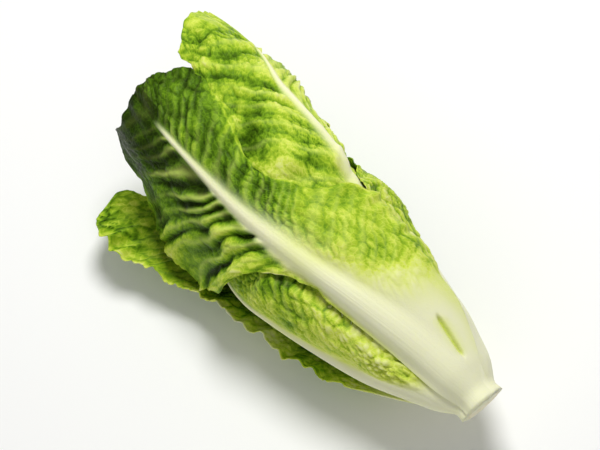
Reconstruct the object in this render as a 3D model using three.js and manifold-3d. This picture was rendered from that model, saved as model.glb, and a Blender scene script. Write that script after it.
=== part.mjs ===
// Romaine lettuce head, cut at the stem and lying on its side. Millimetres, +Z up.
//
// The head's axis is level and runs along +Y, from the cut end of the stem to the leaf tips. A place in
// the head is given by s, the distance along the axis from the cut, and by an azimuth, the angle round
// the axis in degrees from straight up (0) towards +X (90). Every leaf clasps the stem a little higher
// than the leaf before it and 137.5 degrees further round, and lies inside all the leaves below it.
// The radius of a leaf's back is therefore what the leaves outside it leave of the head's radius.
import * as THREE from "three";
import { mergeVertices } from "three/addons/utils/BufferGeometryUtils.js";
import Module from "manifold-3d";

// ---- Driving dimensions ----
const AXIS_HEIGHT = 41; // of the head's axis above the surface it lies on
const HEAD_RADIUS = [
  [0, 11.3], [3, 12.2], [7, 14.8], [13, 18.5], [27, 24.5], [47, 32.5], [72, 40], [97, 44.5],
  [122, 46.5], [147, 47.5], [172, 47], [197, 45], [222, 41], [247, 35],
];
const SIDE_AZIMUTH = 76; // of the side that is pressed flat by the next head in the crate
const SIDE_PRESS = [[27, 1.2], [52, 0.87], [107, 0.84], [162, 0.87], [187, 1.2]]; // its share of the radius
const SIDE_BLEND = 9; // softness of the bend from the round head to its flat side
const FLOOR_BLEND = 3; // and to its flat belly
const STEM_RADIUS = [[0, 5.6], [6, 4.7], [28, 4.3], [37, 3.9]];
const STEM_LENGTH = 37;
const CORE_RADIUS = [[37.4, 3.8], [50, 3.8], [75, 3.2], [100, 1.2]]; // of the heart's core, above the stem
const CORE_END = 62;
const JOINT_GAP = 0.3; // between a leaf's base and the stem

const LEAF_COUNT = 15; // leaves that can be picked off one by one
const HEART_LEAVES = 3; // the smallest leaves, which hold together as the heart
const FIRST_AZIMUTH = 184; // rib of the outermost leaf, under the head
const TURN = 137.5; // from one leaf to the next
const ATTACH_STEP = 3.1; // along the stem from one leaf to the next, above the outer leaves
const LEAF_GAP = [[15, 0.4], [60, 1.6], [120, 2.2], [190, 3.3]]; // between leaves, by distance from their bases
const BLADE_THICKNESS = 0.8;
const TIP_ROUNDING = 0.07; // how far a blade's upper corners drop, as a share of its length

// Each by the share of a leaf's length, from its base.
const BLADE_OUTLINE = [
  [0, 0.14], [0.08, 0.22], [0.2, 0.4], [0.35, 0.72], [0.5, 0.94], [0.62, 1], [0.76, 0.97], [0.88, 0.8],
  [1, 0.4],
];
const RIB_HALF_WIDTH = [
  [0, 9], [0.07, 11], [0.18, 12.5], [0.27, 10.5], [0.36, 8], [0.45, 6.5], [0.55, 5], [0.7, 2.8], [0.85, 1.6],
  [1, 1],
];
const RIB_THICKNESS = [
  [0, 1], [0.06, 2], [0.12, 3.4], [0.22, 4.4], [0.32, 4], [0.45, 2.9], [0.6, 1.9], [0.8, 0.9], [1, 0.2],
];
const RIB_OUTSIDE = 0.7; // the share of the rib's thickness that stands out of the leaf's back

// ---- Small functions ----
const DEG = Math.PI / 180;
const clamp = (x, low, high) => Math.min(high, Math.max(low, x));
const mix = (a, b, t) => a + (b - a) * t;

/** An angle brought to between -180 and 180 degrees. */
const wrap = (angle) => ((((angle + 180) % 360) + 360) % 360) - 180;

/** 0 before low, 1 after high, with a level start and end. */
function smooth(low, high, x) {
  const t = clamp((x - low) / (high - low), 0, 1);
  return t * t * (3 - 2 * t);
}

/** 1 in the middle and 0 from x = 1 outwards, like the section of a rib. */
const bump = (x) => (Math.abs(x) < 1 ? (1 - x * x) ** 2 : 0);

/** The lower of two lengths, rounded off where they are within `blend` of each other. */
function softMin(a, b, blend) {
  const t = clamp(0.5 + (b - a) / (2 * blend), 0, 1);
  return mix(b, a, t) - blend * t * (1 - t) * 0.5;
}

/** A smooth line through the points [x, y], level past its ends. */
function curve(points) {
  const last = points.length - 1;
  const slopes = points.map((_, i) => {
    const before = points[Math.max(0, i - 1)];
    const after = points[Math.min(last, i + 1)];
    return (after[1] - before[1]) / (after[0] - before[0]);
  });
  return (x) => {
    if (x <= points[0][0]) return points[0][1];
    if (x >= points[last][0]) return points[last][1];
    const k = points.findIndex((p) => p[0] > x);
    const width = points[k][0] - points[k - 1][0];
    const t = (x - points[k - 1][0]) / width;
    const start = points[k - 1][1] * (1 + 2 * t) + slopes[k - 1] * width * t;
    const end = points[k][1] * (3 - 2 * t) + slopes[k] * width * (t - 1);
    return start * (1 - t) ** 2 + end * t * t;
  };
}

// ---- The head's outer form ----
const headRadius = curve(HEAD_RADIUS);
const sidePress = curve(SIDE_PRESS);
const stemRadius = curve(STEM_RADIUS);
const coreRadius = curve(CORE_RADIUS);
const leafGap = curve(LEAF_GAP);
const bladeOutline = curve(BLADE_OUTLINE);
const ribHalfWidth = curve(RIB_HALF_WIDTH);
const ribThickness = curve(RIB_THICKNESS);

/** How much longer a step along the head's surface is than along its axis. */
const slant = (s) => Math.hypot(1, (headRadius(s + 1) - headRadius(s - 1)) / 2);

/** Radius of the whole head where only its side is pressed, not its belly. */
function unladenRadius(s, azimuth) {
  const sideways = Math.cos((azimuth - SIDE_AZIMUTH) * DEG);
  const round = headRadius(s);
  return sideways > 0.2 ? softMin(round, (round * sidePress(s)) / sideways, SIDE_BLEND) : round;
}

/** Distance from the axis to the surface that the head lies on. */
function floorRadius(azimuth) {
  const down = -Math.cos(azimuth * DEG);
  return down > 0.2 ? AXIS_HEIGHT / down : Infinity;
}

/** Radius of the whole head as it lies. */
function envelope(s, azimuth) {
  const floor = floorRadius(azimuth);
  const radius = unladenRadius(s, azimuth);
  return floor < Infinity ? softMin(radius, floor, FLOOR_BLEND) : radius;
}

/** The point at radius r of a place in the head. */
function inHead(s, azimuth, r) {
  return new THREE.Vector3(r * Math.sin(azimuth * DEG), s, AXIS_HEIGHT + r * Math.cos(azimuth * DEG));
}

// ---- The leaves ----
// Leaf number `rank`, from the outermost inwards, by the plant's own rule. `left` and `right` are its
// half-widths in mm, towards lower and higher azimuths, at the distance a from its base.
function leafByRule(rank) {
  const inner = rank / (LEAF_COUNT - 1);
  const width = mix(64, 46, inner);
  const length = mix(222, 160, inner ** 1.2);
  return {
    rank,
    name: `leaf_${String(rank + 1).padStart(2, "0")}`,
    azimuth: wrap(FIRST_AZIMUTH + rank * TURN),
    twist: 6 * Math.sin(rank * 2.4),
    twistSpan: [0, 200],
    attach: 3 + (rank - 4) * ATTACH_STEP,
    length,
    left: (a) => width * bladeOutline(a / length),
    right: (a) => 1.04 * width * bladeOutline(a / length),
    flareLeft: () => 0,
    flareRight: () => 0,
    looseness: mix(1.05, 1.35, inner),
    ribScale: mix(1, 0.62, inner),
    wave: mix(1.6, 0.6, inner),
    waveLength: 46,
    phase: (rank * 0.618) % 1,
    rows: rank < 5 ? 22 : 15,
    columns: rank < 5 ? 12 : 10,
  };
}

// The five outer leaves grew less evenly than the rule: each has the place and outline it grew to.
const OUTER_LEAVES = {
  // Under the head: its right edge spreads out beside the head and shows past its side.
  leaf_01: {
    attach: 0,
    length: 228,
    right: curve([
      [0, 9], [17, 12], [42, 27], [67, 42], [107, 52], [147, 57], [197, 60], [217, 58], [228, 46],
    ]),
    flareRight: curve([
      [12, 0], [40, 4.5], [65, 8], [104, 10], [125, 13], [147, 18], [167, 26], [187, 30], [202, 32], [228, 28],
    ]),
  },
  // On top, with the broadest rib: narrow on its left side up to half its height.
  leaf_02: {
    azimuth: -20,
    twist: -18,
    twistSpan: [0, 150],
    attach: 0,
    length: 231,
    left: curve([
      [0, 8], [17, 10], [42, 9.5], [72, 9], [92, 9], [104, 15], [115, 24], [127, 42], [137, 54], [147, 56],
      [187, 54], [209, 47], [231, 24],
    ]),
    right: curve([
      [0, 8], [17, 12], [40, 18.5], [54, 33], [72, 52], [99, 53], [114, 46], [123, 32], [136, 22], [155, 22],
      [175, 29], [197, 36], [215, 32], [231, 16],
    ]),
    flareLeft: curve([
      [109, 0], [123, 5], [137, 10], [152, 13], [167, 10], [182, 5], [197, 1],
    ]),
    wave: 1.2,
  },
  // On the right: its left side is broad below and narrow above.
  leaf_03: {
    azimuth: 106,
    attach: 1,
    length: 197,
    left: curve([
      [0, 7], [17, 11], [37, 24], [67, 46], [97, 58], [111, 60], [119, 40], [127, 18], [162, 14], [197, 10],
    ]),
  },
  // On the left: only its rib and the lower half of its right side show.
  leaf_04: {
    azimuth: -97,
    twist: 2,
    attach: 2,
    length: 193,
    left: curve([[0, 7], [17, 11], [36, 20], [75, 36], [115, 42], [154, 38], [177, 28], [193, 13]]),
    right: curve([[0, 7], [17, 13], [36, 29], [66, 46], [105, 50], [144, 44], [173, 30], [193, 13]]),
  },
  // Above the one on the right: the longest, and its rib leans to the right towards its tip.
  leaf_05: {
    azimuth: 39,
    twist: 34,
    twistSpan: [117, 232],
    attach: 3,
    length: 237,
    left: curve([
      [0, 7], [21, 12], [45, 24], [92, 46], [147, 52], [187, 54], [212, 60], [229, 56], [237, 36],
    ]),
    right: curve([[0, 7], [21, 11], [45, 20], [92, 34], [140, 40], [187, 42], [215, 38], [237, 14]]),
  },
};

const leaves = Array.from({ length: LEAF_COUNT + HEART_LEAVES }, (_, rank) => {
  const leaf = leafByRule(rank);
  return { ...leaf, ...OUTER_LEAVES[leaf.name] };
});

/** Azimuth of the leaf's rib at s. */
const ribAzimuth = (leaf, s) => leaf.azimuth + leaf.twist * smooth(...leaf.twistSpan, s);

/** A place in the head as a distance a along the leaf's rib and b across it, to its right if positive. */
function onLeaf(leaf, s, azimuth) {
  return { a: s - leaf.attach, b: wrap(azimuth - ribAzimuth(leaf, s)) * DEG * headRadius(s) };
}

const lengthShare = (leaf, a) => clamp(a / leaf.length, 0, 1);

/** Half-width of the leaf at a, on the side of the rib where b lies. */
const halfWidth = (leaf, a, b) => (b < 0 ? leaf.left : leaf.right)(clamp(a, 0, leaf.length));

/** 1 over the leaf itself and 0 well clear of it, so that what lies inside it bends round its edge. */
function cover(leaf, a, b) {
  const beyond = Math.max(Math.abs(b) - halfWidth(leaf, a, b), 0);
  return (1 - smooth(4, 32, beyond)) * (1 - smooth(4, 26, a - leaf.length)) * (1 - smooth(1, 5, -a));
}

/** How far the leaf's waves press in: not at all at the rib, and most at the edge of the upper blade. */
function waveDepth(leaf, a, b) {
  const across = Math.min(Math.abs(b) / halfWidth(leaf, a, b), 1.2);
  const phase = (a - 0.6 * Math.abs(b)) / leaf.waveLength + leaf.phase + (b < 0 ? 0 : 0.37);
  const swell = smooth(0.2, 0.55, lengthShare(leaf, a)) * across ** 2;
  return leaf.wave * swell * (1 + Math.sin(2 * Math.PI * phase));
}

/** How far the leaf's edge spreads out of the head, where nothing holds it in. */
function flare(leaf, a, b) {
  const across = Math.abs(b) / halfWidth(leaf, a, b);
  return (b < 0 ? leaf.flareLeft : leaf.flareRight)(a) * clamp((across - 0.42) / 0.58, 0, 1.2) ** 1.5;
}

/** The rib's height over the blade at its middle. */
const ribHeight = (leaf, a) => ribThickness(lengthShare(leaf, a)) * leaf.ribScale;

/** 1 at the rib, fading to 0 where the blade is free of it. */
function besideRib(leaf, a, b) {
  const half = ribHalfWidth(lengthShare(leaf, a));
  return 1 - smooth(0.3 * half, half + 14, Math.abs(b));
}

/** The rib's section over the blade: 1 at its middle, 0 beside it. */
const ribSection = (leaf, a, b) => bump(b / ribHalfWidth(lengthShare(leaf, a)));

/** The room that a leaf takes up in the head, from its outermost to its innermost point. */
function depth(leaf, a, b) {
  return BLADE_THICKNESS + ribHeight(leaf, a) * besideRib(leaf, a, b) + waveDepth(leaf, a, b);
}

/** Radius of the room left inside the `count` outermost leaves: a leaf takes less where it spreads out. */
function room(s, azimuth, count) {
  let radius = envelope(s, azimuth);
  for (const leaf of leaves.slice(0, count)) {
    const { a, b } = onLeaf(leaf, s, azimuth);
    const taken = depth(leaf, a, b) * slant(s) + leaf.looseness * leafGap(a) - flare(leaf, a, b);
    radius -= cover(leaf, a, b) * Math.max(taken, 0);
  }
  return radius;
}

/** The point of the leaf's back at a along the rib and b across it. */
function backPoint(leaf, a, b) {
  const s = leaf.attach + a;
  const azimuth = ribAzimuth(leaf, s) + b / (headRadius(s) * DEG);
  const valley = ribHeight(leaf, a) * RIB_OUTSIDE * besideRib(leaf, a, b) * (1 - ribSection(leaf, a, b));
  const start = leaf.rank === 0 ? unladenRadius(s, azimuth) : room(s, azimuth, leaf.rank);
  const r = start + flare(leaf, a, b) - (valley + waveDepth(leaf, a, b)) * slant(s);
  return inHead(s, azimuth, Math.min(r, floorRadius(azimuth)));
}

/** Radius at which a leaf's base joins the stem, or is sunk into the heart's core. */
const joinRadius = (leaf, s) => (leaf.rank < LEAF_COUNT ? stemRadius(s) + JOINT_GAP : 0.5 * coreRadius(s));

/** The point of the leaf's inner face behind the point `back` of its back. */
function innerPoint(leaf, { a, b }, back, normal) {
  const outward = new THREE.Vector3(back.x, 0, back.z - AXIS_HEIGHT).normalize();
  const fleshy = bump(b / (ribHalfWidth(lengthShare(leaf, a)) + 8));
  const inward = normal.lerp(outward, Math.max(fleshy, 1 - smooth(4, 14, a))).normalize();
  const thickness = BLADE_THICKNESS + ribHeight(leaf, a) * ribSection(leaf, a, b);
  const stretch = mix(slant(back.y), 1, smooth(60, 100, back.y));
  const point = back.clone().addScaledVector(inward, -thickness * stretch);
  const joined = outward.multiplyScalar(joinRadius(leaf, back.y));
  joined.y = back.y;
  joined.z += AXIS_HEIGHT;
  const across = Math.abs(b) / halfWidth(leaf, a, b);
  return point.lerp(joined, (1 - smooth(1, 6, a)) * (1 - smooth(0.45, 0.85, across)));
}

/** One closed leaf: a grid of points over its back, and the same grid over its inner face. */
function leafGeometry(leaf) {
  const { rows, columns } = leaf;
  const places = [];
  for (let i = 0; i <= rows; i++) {
    for (let j = 0; j <= columns; j++) {
      const side = (2 * j) / columns - 1;
      const across = Math.sign(side) * Math.abs(side) ** 1.15;
      const t = i / rows - TIP_ROUNDING * across ** 2 * smooth(0.6, 1, i / rows);
      const outlineAt = leaf.length * (i / rows);
      places.push({ a: leaf.length * t, b: across * halfWidth(leaf, outlineAt, side) });
    }
  }
  const back = places.map(({ a, b }) => backPoint(leaf, a, b));
  const at = (i, j) => clamp(i, 0, rows) * (columns + 1) + clamp(j, 0, columns);
  const inner = places.map((place, k) => {
    const i = Math.floor(k / (columns + 1));
    const j = k % (columns + 1);
    const along = back[at(i + 1, j)].clone().sub(back[at(i - 1, j)]);
    const across = back[at(i, j + 1)].clone().sub(back[at(i, j - 1)]);
    return innerPoint(leaf, place, back[k], across.cross(along).normalize());
  });
  return sheet(back, inner, rows, columns);
}

/** A closed solid between two grids of (rows + 1) by (columns + 1) points, split alike on both faces. */
function sheet(outer, inner, rows, columns) {
  const under = outer.length;
  const at = (i, j) => i * (columns + 1) + j;
  const faces = [];
  for (let i = 0; i < rows; i++) {
    for (let j = 0; j < columns; j++) {
      const [p, q, r, s] = [at(i, j), at(i, j + 1), at(i + 1, j + 1), at(i + 1, j)];
      faces.push(p, q, r, p, r, s);
      faces.push(under + p, under + r, under + q, under + p, under + s, under + r);
    }
  }
  const wall = (p, q) => faces.push(p, under + p, under + q, p, under + q, q);
  for (let j = 0; j < columns; j++) {
    wall(at(0, j), at(0, j + 1));
    wall(at(rows, j + 1), at(rows, j));
  }
  for (let i = 0; i < rows; i++) {
    wall(at(i + 1, 0), at(i, 0));
    wall(at(i, columns), at(i + 1, columns));
  }
  const geometry = new THREE.BufferGeometry().setFromPoints([...outer, ...inner]);
  geometry.setIndex(faces);
  return geometry;
}

// ---- The stem and the heart ----
/** A round body on the head's axis, from s = start to s = end, with flat ends. */
function onAxis(radiusAt, start, end, steps, sides) {
  const profile = [new THREE.Vector2(0, start)];
  for (let i = 0; i <= steps; i++) {
    const s = mix(start, end, i / steps);
    profile.push(new THREE.Vector2(radiusAt(s), s));
  }
  profile.push(new THREE.Vector2(0, end));
  return new THREE.LatheGeometry(profile, sides).translate(0, 0, AXIS_HEIGHT);
}

const wasm = await Module();
wasm.setup();

function toSolid(geometry) {
  const bare = geometry.clone().deleteAttribute("normal").deleteAttribute("uv");
  const merged = mergeVertices(bare, 1e-3);
  const vertProperties = merged.attributes.position.array;
  const triVerts = new Uint32Array(merged.index.array);
  return new wasm.Manifold(new wasm.Mesh({ numProp: 3, vertProperties, triVerts }));
}

function toGeometry(solid) {
  const { vertProperties, triVerts } = solid.getMesh();
  const geometry = new THREE.BufferGeometry();
  geometry.setAttribute("position", new THREE.BufferAttribute(vertProperties, 3));
  return geometry.setIndex(new THREE.BufferAttribute(triVerts, 1));
}

/** The smallest leaves, joined to the slim core that they grow from. */
function heartGeometry() {
  const core = toSolid(onAxis(coreRadius, CORE_RADIUS[0][0], CORE_END, 6, 12));
  const small = leaves.slice(LEAF_COUNT).map((leaf) => toSolid(leafGeometry(leaf)));
  return toGeometry(small.reduce((whole, leaf) => whole.add(leaf), core));
}

// ---- The head ----
const LEAF_GREEN = 0x7fa838;
const HEART_GREEN = 0xcfd987;
const STEM_CREAM = 0xe9e4c9;

const head = new THREE.Group();
const add = (name, geometry, color) => {
  const material = new THREE.MeshStandardMaterial({ color, roughness: 0.45, metalness: 0 });
  const mesh = new THREE.Mesh(geometry, material);
  mesh.name = name;
  head.add(mesh);
};
for (const leaf of leaves.slice(0, LEAF_COUNT)) {
  add(leaf.name, leafGeometry(leaf), LEAF_GREEN);
}
add("heart", heartGeometry(), HEART_GREEN);
add("stem", onAxis(stemRadius, 0, STEM_LENGTH, 6, 28), STEM_CREAM);

// The origin is on the surface below the middle of the head.
const box = new THREE.Box3().setFromObject(head);
const middle = box.getCenter(new THREE.Vector3());
head.position.set(-middle.x, -middle.y, -box.min.z);

export default head;
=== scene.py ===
"""A romaine lettuce head, cut at the stem and lying on its side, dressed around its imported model.

The leaves are worked out in millimetres in the head's own frame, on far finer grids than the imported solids.
The inner leaves follow the rule of the solids' leaves. The five outer leaves have outlines of their own,
which differ from the solids' by up to about 20 mm. Ribs' fibres, lateral veins, blisters, pleats and ruffled
margins are added here.

A place in the head is given by s, the distance along its axis from the cut, and by an azimuth round the axis
in degrees from straight up (0) towards +X (90). A place on a leaf is given by a, the distance along its rib
from its base, and b, the distance across it, positive towards higher azimuths.
"""
import math
from types import SimpleNamespace

import bpy
import numpy as np
from mathutils import Matrix, Vector


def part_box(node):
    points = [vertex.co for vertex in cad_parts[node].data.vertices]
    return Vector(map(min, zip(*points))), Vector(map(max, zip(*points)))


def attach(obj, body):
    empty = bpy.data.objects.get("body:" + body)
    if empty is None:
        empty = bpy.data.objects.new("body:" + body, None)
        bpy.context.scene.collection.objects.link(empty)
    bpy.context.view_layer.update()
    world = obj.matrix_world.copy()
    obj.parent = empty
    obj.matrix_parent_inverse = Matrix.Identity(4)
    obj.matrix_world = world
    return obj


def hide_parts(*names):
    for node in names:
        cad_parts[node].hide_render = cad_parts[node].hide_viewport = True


MM = 0.001
DEG = math.pi / 180

# ---- The camera and the light ----
CAMERA_FROM_CUT = (-305.6, -400.4, 1244.7)  # mm, from the middle of the cut, in the head's directions
VIEW_DIRECTION = (0.2186, 0.3800, -0.8988)
IMAGE_UP = (0.5890, 0.6248, 0.5126)
LENS = 172.8
SENSOR_WIDTH = 36
NEAREST_SEEN = 0.05  # m
# Directions are from the head, distances and sizes in m, and powers in W.
KEY_LIGHT = dict(direction=(0.30, 0.22, 0.92), distance=0.9, size=0.36, power=7.2)
FILL_LIGHT = dict(direction=(-0.75, -0.45, 0.50), distance=1.2, size=0.9, power=2.3)
LIT_HEIGHT = 0.04  # m above the floor, where the lights point
SKY_STRENGTH = 0.31
FLOOR_SIZE = 6  # m
FLOOR_ROUGHNESS = 0.9

# ---- The head, in mm ----
HEAD_RADIUS = [
    (0, 11.3), (3, 12.2), (7, 14.8), (13, 18.5), (27, 24.5), (47, 32.5), (72, 40), (97, 44.5),
    (122, 46.5), (147, 47.5), (172, 47), (197, 45), (222, 41), (247, 35),
]
SIDE_AZIMUTH = 76  # of the side pressed flat by a neighbour
SIDE_PRESS = [(27, 1.2), (52, 0.87), (107, 0.84), (162, 0.87), (187, 1.2)]
SIDE_BLEND = 9
FLOOR_BLEND = 3
FACING = 0.2  # cosine above which a direction faces the floor or the neighbour
NO_FLOOR = 1e6  # mm, for directions that don't face the floor
STEM_RADIUS = [(0, 5.6), (6, 4.7), (28, 4.3), (37, 3.9)]
STEM_LENGTH = 37
CORE_RADIUS = [(37.4, 3.8), (50, 3.8), (75, 3.2), (100, 1.2)]
CORE_END = 62
CORE_ROWS = 12
CORE_SIDES = 32
CORE_CAP_RINGS = 4
STEM_ROWS = 60
STEM_SIDES = 64
STEM_CAP_RINGS = 10
JOINT_GAP = 0.3  # between a leaf's base and the stem
CUT_LEAVES = 5  # leaves that reach down to the cut
CUT_RIM = 0.4
CUT_LIP = 1.0
CUT_START = -3  # of the cut's middle along the axis
CUT_SLOPE = 0.2  # the cut leans in towards its lower side
CUT_REACH = 12  # how far up the leaves the lean is taken up
CUT_HOLLOW = 0.5
CUT_TEAR = 0.25  # depth of the cut's torn surface
CUT_DISC = [(0, 9.6), (3, 9.4), (7, 6.5), (12, 4.7), (28, 4.3), (37, 3.9)]

LEAF_COUNT = 15  # leaves that can be picked off one by one
HEART_LEAVES = 3
HEART_ROWS = 70
HEART_COLUMNS = 40
HALF_WIDTHS = (64, 46)  # of the first and the last of the LEAF_COUNT leaves, by the rule
LENGTHS = (222, 160)
FIRST_AZIMUTH = 184  # of the outermost leaf's rib, under the head
TURN = 137.5  # from one leaf to the next
OUTER_BASE = 3  # s of the innermost outer leaf's base
ATTACH_STEP = 3.1  # along the stem from one inner leaf to the next
LEAF_GAP = [(15, 0.4), (60, 1.6), (120, 2.2), (190, 3.3)]
BLADE_THICKNESS = 0.8  # the room kept for a blade; the blade itself is thinner
BLADE_MIDDLE = 0.7
BLADE_EDGE = 0.4
TIP_ROUNDING = 0.07

# By the share of a leaf's length.
BLADE_OUTLINE = [
    (0, 0.14), (0.08, 0.22), (0.2, 0.4), (0.35, 0.72), (0.5, 0.94), (0.62, 1), (0.76, 0.97), (0.88, 0.8),
    (1, 0.4),
]
RIB_HALF_WIDTH = [
    (0, 9), (0.07, 11), (0.18, 12.5), (0.27, 10.5), (0.36, 8), (0.45, 6.5), (0.55, 5), (0.7, 2.8),
    (0.85, 1.6), (1, 1),
]
RIB_THICKNESS = [
    (0, 1), (0.06, 2), (0.12, 3.4), (0.22, 4.4), (0.32, 4), (0.45, 2.9), (0.6, 1.9), (0.8, 0.9), (1, 0.2),
]
RIB_OUTSIDE = 0.7  # the share of a rib's thickness that stands out of the leaf's back

# ---- Relief and colour, by the share of a leaf's length ----
GREEN_ALONG = [
    (0, 0), (0.13, 0.02), (0.2, 0.13), (0.28, 0.28), (0.38, 0.41), (0.52, 0.57), (0.66, 0.71), (0.82, 0.8),
    (1, 0.9),
]
WHITE_HALF_WIDTH = [
    (0, 60), (0.12, 38), (0.2, 25), (0.28, 17), (0.36, 12.5), (0.45, 9), (0.58, 5.2), (0.75, 2.3),
    (0.87, 1.3), (1, 1),
]
GREENS = [  # sRGB, from the white base to the darkest tip
    (0.0, (231, 230, 200)), (0.14, (218, 223, 150)), (0.3, (201, 215, 84)), (0.44, (161, 189, 47)),
    (0.6, (112, 150, 28)), (0.76, (72, 106, 16)), (0.9, (46, 70, 8)), (1.0, (30, 46, 5)),
]
VEIN_COLOUR = (212, 226, 118)
RIB_COLOUR = (232, 231, 192)
FIBRE_COLOUR = (214, 216, 160)
CUT_COLOUR = (212, 196, 138)
CUT_PALE_COLOUR = (234, 228, 196)
FLOOR_COLOUR = (244, 244, 242)
LEAF_ROUGHNESS = 0.38
LEAF_SPECULAR = 0.1
LEAF_LIGHT_DEPTH = 0.0016  # m that light gets into a leaf
CUT_LIGHT_DEPTH = 0.002
BUMP_DEPTH = 0.0004  # m, of the grain too fine for the meshes
VEIN_PALENESS = 0.64
NET_DARKNESS = 0.09  # of the net of the finest veins


# ---- Small functions, all on numpy arrays ----
def wrap(angle):
    """An angle brought to between -180 and 180 degrees."""
    return (angle + 180) % 360 - 180


def smooth(low, high, x):
    """0 before low, 1 after high, with a level start and end."""
    t = np.clip((x - low) / (high - low), 0, 1)
    return t * t * (3 - 2 * t)


def mix(a, b, t):
    """a where t is 0 and b where it is 1."""
    return a + (b - a) * t


def bump(x):
    """1 in the middle and 0 from x = 1 outwards."""
    return np.where(np.abs(x) < 1, (1 - x * x) ** 2, 0.0)


def soft_min(a, b, blend):
    """The lower of two lengths, rounded off where they are within `blend` of each other."""
    t = np.clip(0.5 + (b - a) / (2 * blend), 0, 1)
    return mix(b, a, t) - blend * t * (1 - t) * 0.5


def curve(points):
    """A smooth line through the points (x, y), level past its ends."""
    xs, ys = np.array(points, float).T
    before = np.maximum(np.arange(len(xs)) - 1, 0)
    after = np.minimum(np.arange(len(xs)) + 1, len(xs) - 1)
    slopes = (ys[after] - ys[before]) / (xs[after] - xs[before])

    def at(x):
        x = np.clip(x, xs[0], xs[-1])
        k = np.clip(np.searchsorted(xs, x, side="right"), 1, len(xs) - 1)
        width = xs[k] - xs[k - 1]
        t = (x - xs[k - 1]) / width
        start = ys[k - 1] * (1 + 2 * t) + slopes[k - 1] * width * t
        end = ys[k] * (3 - 2 * t) + slopes[k] * width * (t - 1)
        return start * (1 - t) ** 2 + end * t * t

    return at


SEED = 20
TABLE_SIZE = 64
_random = np.random.default_rng(SEED)
NOISE_TABLE = _random.uniform(-1, 1, (TABLE_SIZE, TABLE_SIZE))
CELL_TABLE = _random.uniform(0.12, 0.88, (TABLE_SIZE, TABLE_SIZE, 2))  # each cell's middle, in its square


def noise(x, y=0.0):
    """Smooth noise from -1 to 1 with one random value for each unit square."""
    x, y = np.broadcast_arrays(np.asarray(x, float), np.asarray(y, float))
    i, j = np.floor(x).astype(int), np.floor(y).astype(int)
    u, v = x - i, y - j
    u, v = u * u * (3 - 2 * u), v * v * (3 - 2 * v)

    def value(di, dj):
        return NOISE_TABLE[(i + di) % TABLE_SIZE, (j + dj) % TABLE_SIZE]

    return mix(mix(value(0, 0), value(1, 0), u), mix(value(0, 1), value(1, 1), u), v)


def cell_edge(x, y):
    """How far a point is from the edge of its cell, in a pattern of uneven cells about one unit wide."""
    i, j = np.floor(x).astype(int), np.floor(y).astype(int)
    nearest = np.full(x.shape, 9.0)
    second = np.full(x.shape, 9.0)
    for di in (-1, 0, 1):
        for dj in (-1, 0, 1):
            at = CELL_TABLE[(i + di) % TABLE_SIZE, (j + dj) % TABLE_SIZE]
            distance = np.hypot(i + di + at[..., 0] - x, j + dj + at[..., 1] - y)
            second = np.minimum(second, np.maximum(nearest, distance))
            nearest = np.minimum(nearest, distance)
    return second - nearest


# ---- The head's outer form ----
head_radius = curve(HEAD_RADIUS)
side_press = curve(SIDE_PRESS)
stem_radius = curve(STEM_RADIUS)
core_radius = curve(CORE_RADIUS)
cut_disc = curve(CUT_DISC)
leaf_gap = curve(LEAF_GAP)
blade_outline = curve(BLADE_OUTLINE)
rib_half_width = curve(RIB_HALF_WIDTH)
rib_thickness = curve(RIB_THICKNESS)
green_along = curve(GREEN_ALONG)
white_half_width = curve(WHITE_HALF_WIDTH)


def slant(s):
    """How much longer a step along the head's surface is than along its axis."""
    return np.hypot(1, (head_radius(s + 1) - head_radius(s - 1)) / 2)


def unladen_radius(s, azimuth):
    """Radius of the whole head where only its side is pressed, not its belly."""
    sideways = np.cos((azimuth - SIDE_AZIMUTH) * DEG)
    around = head_radius(s)
    pressed = around * side_press(s) / np.maximum(sideways, FACING)
    return np.where(sideways > FACING, soft_min(around, pressed, SIDE_BLEND), around)


def floor_radius(azimuth, axis_height):
    """Distance from the axis to the surface that the head lies on."""
    down = -np.cos(azimuth * DEG)
    return np.where(down > FACING, axis_height / np.maximum(down, FACING), NO_FLOOR)


# ---- The leaves ----
# In a leaf's values a pair is for the left and the right of the rib, and a curve goes by a, unless a comment
# says something else.
LEVEL = curve([(0, 0), (1, 0)])  # 0 all along


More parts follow.
